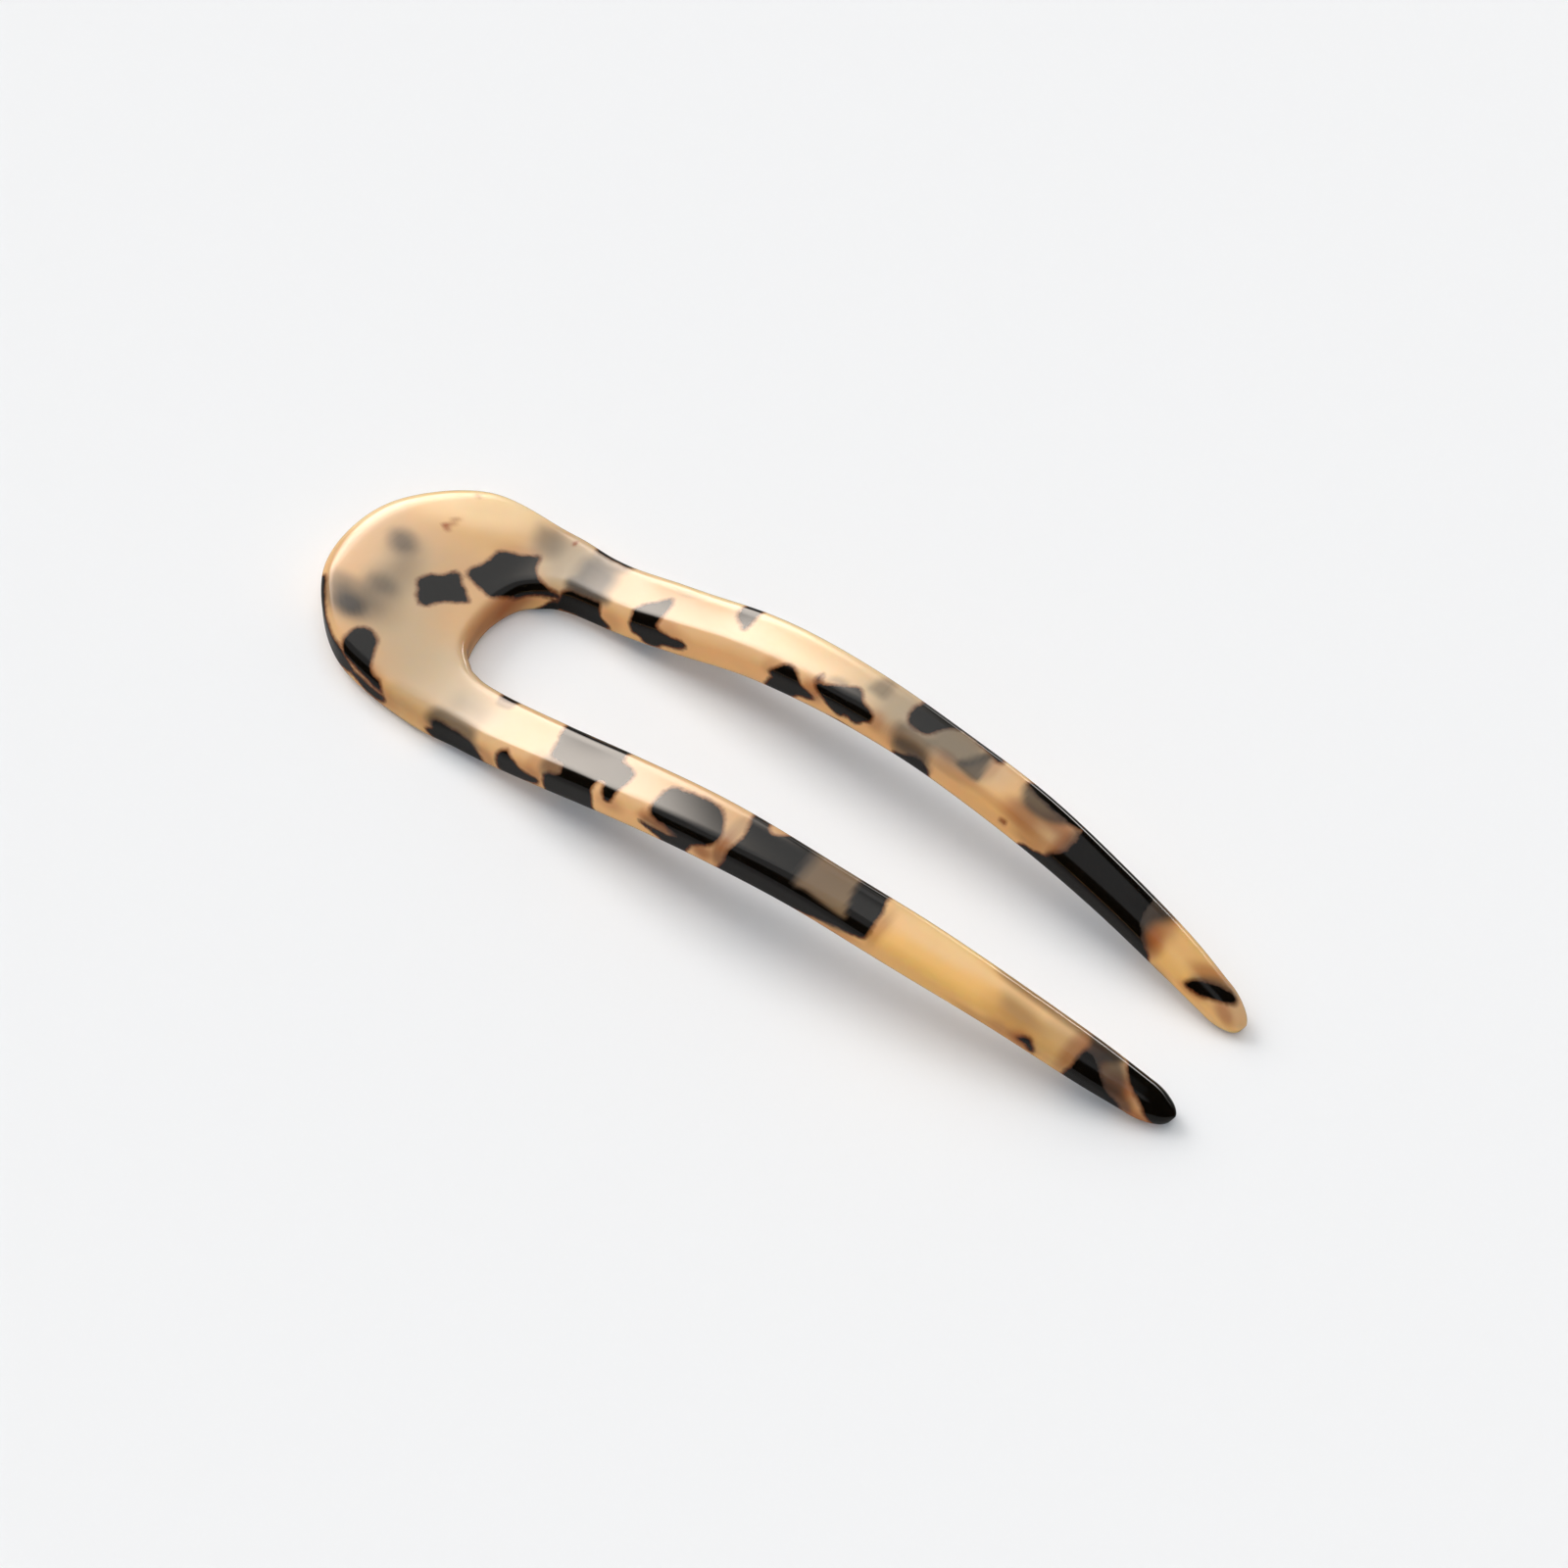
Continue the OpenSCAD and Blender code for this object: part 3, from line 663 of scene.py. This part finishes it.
def blurred(places, rows):
    """Joint strength of soft-edged ellipses at each place."""
    clear = np.ones(len(places))
    for along, across, half_length, half_width, turn, strength in rows:
        x, y = turned(*(places - [along, across]).T, -turn)
        radius = np.hypot(x / half_length, y / half_width)
        clear *= 1 - strength * smooth_step(BLUR_END, BLUR_START, radius)
    return 1 - clear


def clouded(places, clouds):
    """Joint strength of soft-edged outlines at each place."""
    clear = np.ones(len(places))
    for softness, strength, points in clouds:
        distance = nearest_patch(places, [closed_curve(points)])
        clear *= 1 - strength * smooth_step(softness, -softness, distance)
    return 1 - clear


def lobed_outline(number, row):
    """Uneven oval for a patch of the underside."""
    along, across, half_length, half_width, turn = row
    angle = np.linspace(0, 2 * math.pi, OVAL_POINTS, endpoint=False)
    size = 1 + sum(depth * np.sin(count * angle + number * count) for count, depth in UNDER_LOBES)
    x, y = turned(half_length * size * np.cos(angle), half_width * size * np.sin(angle), turn)
    return np.stack([along + x, across + y], -1)


def chart_pattern(surface):
    """Pattern fields for each point of the mesh."""
    top = surface["top_plan"].reshape(-1, 2)
    under = surface["under_plan"].reshape(-1, 2)
    beyond = surface["beyond_wall"].ravel()
    depth = surface["depth"].ravel()
    limit = beyond - TOP_CHART_LIMIT - TOP_CHART_WOBBLE * np.sin(top[:, 0] * 2 * math.pi / WOBBLE_LENGTH)
    top_patch = np.maximum(nearest_patch(top, [closed_curve(p) for p in SHARP_PATCHES]), limit)
    under_outlines = [lobed_outline(k, row) for k, row in enumerate(UNDER_PATCHES)]
    under_patch = nearest_patch(under, under_outlines)
    fade = np.clip(0.5 - limit / TOP_CHART_FADE, 0, 1)
    deep = 1 - (1 - clouded(top, DEEP_CLOUDS) * fade) * (1 - blurred(under, UNDER_DEEP))
    return {
        "patch": np.minimum(top_patch, under_patch),
        "deep": deep,
        "amber": blurred(top, AMBER_GLOWS) * fade,
        "honey": blurred(top, HONEY_ZONES),
        "milk": blurred(top, MILK_ZONES) * fade,
        # pale: pale cream, and painted glow and painted highlight along edges
        "pale": blurred(top, PALE_AND_GLOW_ZONES) * fade,
        "clear": clouded(top, CLEARINGS) * fade,
        "wall": np.clip(1 - np.abs(depth * 2 - 1), 0, 1),
    }


def store_fields(mesh, fields):
    """Puts the fields on the mesh; the two points that close the tips take their rings' values."""
    sides = 2 * (half_bottom_start() + FLAT_STEPS)
    for name, values in fields.items():
        ends = [values[:sides].mean(), values[-sides:].mean()]
        attribute = mesh.attributes.new(name, "FLOAT", "POINT")
        attribute.data.foreach_set("value", np.append(values, ends).astype(np.float32))


# Acetate: colours as linear light, and distances in the pattern in millimetres

CREAM = (0.71, 0.45, 0.235)
# Painted glow: the walls' cream, brighter and warmer, stands for light shining through the sheet
WALL_PAINTED_GLOW = (0.94, 0.57, 0.24)
# Pale cream, used as well for painted glow and painted highlight along edges
HONEY = (0.90, 0.55, 0.18)
PALE_AND_GLOW = (0.96, 0.72, 0.42)
MILK = (0.55, 0.46, 0.32)
AMBER = (0.36, 0.10, 0.022)
OLIVE = (0.40, 0.33, 0.21)
DEEP_DARK = (0.052, 0.043, 0.035)
BROWN_BLACK = (0.004, 0.003, 0.002)
RIM_BROWN = (0.15, 0.042, 0.014)
# Detail of all the noise
NOISE_DETAIL = 2.0
# Noise that roughens the outlines, wide and fine: its size, and how far it moves them either way
WANDER_SIZE = 1.1
WANDER_REACH = 0.25
FINE_SIZE = 0.3
FINE_REACH = 0.08
# Noise that brings in olive: its size, the values between which it does, and its largest share
TONE_SIZE = 6.0
TONE_RANGE = (0.35, 0.75)
TONE_SHARE = 0.12
# Distances from an outline between which the brown rim and the dark middle come in
RIM_RANGE = (0.52, -0.05)
DARK_RANGE = (0.06, -0.22)
# Shares from the faces to the middle of the wall between which the cream turns to a painted glow, brighter
# and warmer as if lit through the sheet, and the rim deepens
WALL_GLOW_RANGE = (0.0, 0.7)
RIM_WALL = (0.0, 0.6)
RIM_STRENGTH = (0.8, 1.0)
# Polish, and light scattered under the surface: its share, its reach for red, green and blue, and
# that reach's scale in millimetres
ROUGHNESS = 0.08
REFRACTION = 1.48
SCATTER_SHARE = 0.75
SCATTER_REACH = (1.0, 0.62, 0.36)
SCATTER_SCALE = 3.5
# Sockets of the mix node that hold its two colours, and the one that gives their mix
MIX_COLOURS = (6, 7)
MIX_RESULT = 2


class Nodes:
    """Short ways to add and join the nodes of one material or world."""

    def __init__(self, owner):
        owner.use_nodes = True
        self.tree = owner.node_tree
        self.tree.nodes.clear()

    def add(self, kind, inputs=(), **settings):
        node = self.tree.nodes.new(kind)
        for name, value in settings.items():
            setattr(node, name, value)
        for key, value in dict(inputs).items():
            if isinstance(value, bpy.types.NodeSocket):
                self.tree.links.new(value, node.inputs[key])
            else:
                node.inputs[key].default_value = value
        return node

    def field(self, name):
        return self.add("ShaderNodeAttribute", attribute_name=name).outputs["Fac"]

    def math(self, operation, *values):
        return self.add("ShaderNodeMath", enumerate(values), operation=operation).outputs[0]

    def ramp(self, value, low, high, start=0.0, end=1.0):
        """Smooth step of a value from start at low to end at high."""
        inputs = {"Value": value, "From Min": low, "From Max": high, "To Min": start, "To Max": end}
        return self.add("ShaderNodeMapRange", inputs, interpolation_type="SMOOTHSTEP").outputs["Result"]

    def mix(self, share, a, b):
        """Colour a turning to colour b as the share goes to one."""
        colours = [c if isinstance(c, bpy.types.NodeSocket) else (*c, 1) for c in (a, b)]
        inputs = {"Factor": share, **dict(zip(MIX_COLOURS, colours))}
        return self.add("ShaderNodeMix", inputs, data_type="RGBA").outputs[MIX_RESULT]

    def noise(self, vector, size_mm):
        inputs = {"Vector": vector, "Scale": 1 / (size_mm * MM), "Detail": NOISE_DETAIL}
        return self.add("ShaderNodeTexNoise", inputs).outputs["Fac"]

    def shift(self, vector, size_mm, reach):
        """Noise as a distance, up to the reach either way."""
        return self.math("MULTIPLY_ADD", self.noise(vector, size_mm), 2 * reach, -reach)


def acetate():
    material = bpy.data.materials.new("acetate")
    n = Nodes(material)
    place = n.add("ShaderNodeTexCoord").outputs["Object"]
    wander = n.shift(place, WANDER_SIZE, WANDER_REACH)
    fine = n.shift(place, FINE_SIZE, FINE_REACH)
    distance = n.math("ADD", n.field("patch"), n.math("ADD", wander, fine))
    wall = n.field("wall")
    solid = n.math("SUBTRACT", 1.0, n.field("clear"))
    rim = n.math("MULTIPLY", n.ramp(distance, *RIM_RANGE), n.ramp(wall, *RIM_WALL, *RIM_STRENGTH))
    # Towards the walls the cream turns to a painted glow of light through the sheet
    base = n.mix(n.ramp(wall, *WALL_GLOW_RANGE), CREAM, WALL_PAINTED_GLOW)
    base = n.mix(n.field("honey"), base, HONEY)
    # Pale cream, and painted glow and painted highlight along the edges
    base = n.mix(n.field("pale"), base, PALE_AND_GLOW)
    base = n.mix(n.field("milk"), base, MILK)
    base = n.mix(n.ramp(n.noise(place, TONE_SIZE), *TONE_RANGE, 0.0, TONE_SHARE), base, OLIVE)
    base = n.mix(n.field("amber"), base, AMBER)
    base = n.mix(n.math("MULTIPLY", rim, solid), base, RIM_BROWN)
    base = n.mix(n.field("deep"), base, DEEP_DARK)
    base = n.mix(n.math("MULTIPLY", n.ramp(distance, *DARK_RANGE), solid), base, BROWN_BLACK)
    shader = n.add("ShaderNodeBsdfPrincipled", {
        "Base Color": base,
        "Roughness": ROUGHNESS,
        "IOR": REFRACTION,
        "Subsurface Weight": SCATTER_SHARE,
        "Subsurface Radius": SCATTER_REACH,
        "Subsurface Scale": SCATTER_SCALE * MM,
    })
    n.add("ShaderNodeOutputMaterial", {"Surface": shader.outputs[0]})
    return material


# Studio. Reflections show a large soft light behind the pin on the left, a thin strip low behind it
# on the right, a dim panel high behind it and a dim sky overhead. Shadows on the pale floor come
# from three wide lights, and a fourth light, which casts none, brightens and cools them

# Floor: half its side in metres, its colour, and its colour in reflections
FLOOR_HALF = 1.5
FLOOR_COLOUR = (0.90, 0.90, 0.90)
FLOOR_REFLECTED = (0.27, 0.265, 0.26)
# What the camera would see past the floor
BACKDROP = (0.896, 0.896, 0.896)
SHADOW_LIGHTS = (
    # name, elevation, azimuth to the right of straight away, width, strength, casts a shadow, colour
    ("light_above", 86, 0, 55, 1.04, True, (1.02, 1.0, 0.985)),
    ("light_behind", 38, -55, 40, 1.64, True, (1.02, 1.0, 0.985)),
    ("light_around", 90, 0, 170, 0.76, True, (1.0, 1.0, 1.0)),
    ("light_fill", 90, 0, 170, 0.36, False, (0.84, 1.0, 1.18)),
)
# Directions of the studio, seen from the camera
AWAY = (-0.526, 0.850, 0.0)
RIGHT = (0.850, 0.526, 0.0)
UP = (0.0, 0.0, 1.0)

# Reflected lights. Each side of one starts at the first value and is full at the second: shares of
# the direction towards up, right or away, and for the panel's left and right side steps to the
# right for each step away. Only the strip reaches round past this share of the direction away
BEHIND_RANGE = (-0.20, 0.05)
# Large soft light
KEY_COLOUR = (1.0, 0.91, 0.82)
KEY_RADIANCE = 10.3
KEY_LOW = (0.12, 0.38)
KEY_HIGH = (0.84, 0.57)
KEY_LEFT = (-0.56, -0.38)
KEY_RIGHT = (0.25, -0.30)
# Dim panel
PANEL_COLOUR = (1.0, 0.985, 0.95)
PANEL_RADIANCE = 0.65
PANEL_LOW = (0.45, 0.55)
PANEL_HIGH = (0.90, 0.87)
PANEL_LEFT = (-0.80, -0.60)
PANEL_RIGHT = (0.60, 0.45)
# Dim sky
SKY_COLOUR = (0.97, 0.985, 1.0)
SKY_RADIANCE = 0.45
SKY_LOW = (0.74, 0.82)
# Thin strip, with the direction of its middle, how quickly it falls off round that, and half its
# height as a share towards up
THIN_COLOUR = (1.0, 0.97, 0.92)
THIN_RADIANCE = 12.0
THIN_DIRECTION = (0.038, 0.965, 0.259)
THIN_TIGHTNESS = 26.0
THIN_SPREAD = 0.065


def add_world():
    world = bpy.data.worlds.new("studio")
    bpy.context.scene.world = world
    n = Nodes(world)
    direction = n.add("ShaderNodeTexCoord").outputs["Generated"]

    def toward(vector):
        inputs = {0: direction, 1: vector}
        return n.add("ShaderNodeVectorMath", inputs, operation="DOT_PRODUCT").outputs["Value"]

    def product(*shares):
        result = shares[0]
        for share in shares[1:]:
            result = n.math("MULTIPLY", result, share)
        return result

    def glow(share, colour, radiance):
        scaled = tuple(radiance * c for c in colour)
        return n.add("ShaderNodeVectorMath", {0: scaled, "Scale": share}, operation="SCALE").outputs[0]

    def sum_of(a, b):
        return n.add("ShaderNodeVectorMath", {0: a, 1: b}, operation="ADD").outputs[0]

    up, right, away = toward(UP), toward(RIGHT), toward(AWAY)
    behind = n.ramp(away, *BEHIND_RANGE)
    beside = n.math("DIVIDE", right, away)
    key = product(n.ramp(up, *KEY_LOW), n.ramp(up, *KEY_HIGH),
                  n.ramp(right, *KEY_LEFT), n.ramp(right, *KEY_RIGHT), behind)
    panel = product(n.ramp(up, *PANEL_LOW), n.ramp(up, *PANEL_HIGH),
                    n.ramp(beside, *PANEL_LEFT), n.ramp(beside, *PANEL_RIGHT), behind)
    sky = product(n.ramp(up, *SKY_LOW), behind)
    above = n.math("DIVIDE", n.math("SUBTRACT", up, THIN_DIRECTION[2]), THIN_SPREAD)
    fall = n.math("MULTIPLY", n.math("SUBTRACT", toward(THIN_DIRECTION), 1.0), THIN_TIGHTNESS)
    thin = n.math("EXPONENT", n.math("SUBTRACT", fall, n.math("MULTIPLY", above, above)))
    light = glow(key, KEY_COLOUR, KEY_RADIANCE)
    light = sum_of(light, glow(panel, PANEL_COLOUR, PANEL_RADIANCE))
    light = sum_of(light, glow(sky, SKY_COLOUR, SKY_RADIANCE))
    light = sum_of(light, glow(thin, THIN_COLOUR, THIN_RADIANCE))
    seen = n.add("ShaderNodeLightPath").outputs["Is Camera Ray"]
    background = n.add("ShaderNodeBackground", {"Color": n.mix(seen, light, BACKDROP)})
    n.add("ShaderNodeOutputWorld", {"Surface": background.outputs[0]})
    world.cycles_visibility.diffuse = False


def add_shadow_lights():
    for name, elevation, azimuth, width, strength, shadow, colour in SHADOW_LIGHTS:
        data = bpy.data.lights.new(name, "SUN")
        data.angle = math.radians(width)
        data.energy = strength
        data.color = colour
        data.use_shadow = shadow
        data.cycles.use_multiple_importance_sampling = shadow
        light = bpy.data.objects.new(name, data)
        rise = math.radians(elevation)
        turn = math.radians(azimuth)
        level = Vector(AWAY) * math.cos(turn) + Vector(RIGHT) * math.sin(turn)
        direction = level * math.cos(rise) + Vector(UP) * math.sin(rise)
        light.rotation_mode = "QUATERNION"
        light.rotation_quaternion = direction.to_track_quat("Z", "Y")
        light.visible_glossy = False
        bpy.context.scene.collection.objects.link(light)


def add_floor():
    corners = [(x * FLOOR_HALF, y * FLOOR_HALF, 0) for x, y in ((-1, -1), (1, -1), (1, 1), (-1, 1))]
    mesh = bpy.data.meshes.new("floor")
    mesh.from_pydata(corners, [], [tuple(range(len(corners)))])
    floor = bpy.data.objects.new("floor", mesh)
    material = bpy.data.materials.new("floor")
    n = Nodes(material)
    reflected = n.add("ShaderNodeLightPath").outputs["Is Glossy Ray"]
    shader = n.add("ShaderNodeBsdfDiffuse", {"Color": n.mix(reflected, FLOOR_COLOUR, FLOOR_REFLECTED)})
    n.add("ShaderNodeOutputMaterial", {"Surface": shader.outputs[0]})
    mesh.materials.append(material)
    bpy.context.scene.collection.objects.link(floor)


add_camera()
surface = build_surface()
pin = bpy.data.objects.new("hair_pin_acetate", build_mesh(surface))
store_fields(pin.data, chart_pattern(surface))
pin.data.materials.append(acetate())
bpy.context.scene.collection.objects.link(pin)
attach(pin, "root")
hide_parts("hair_pin")

add_floor()
add_world()
add_shadow_lights()
bpy.context.scene.view_settings.view_transform = "Standard"
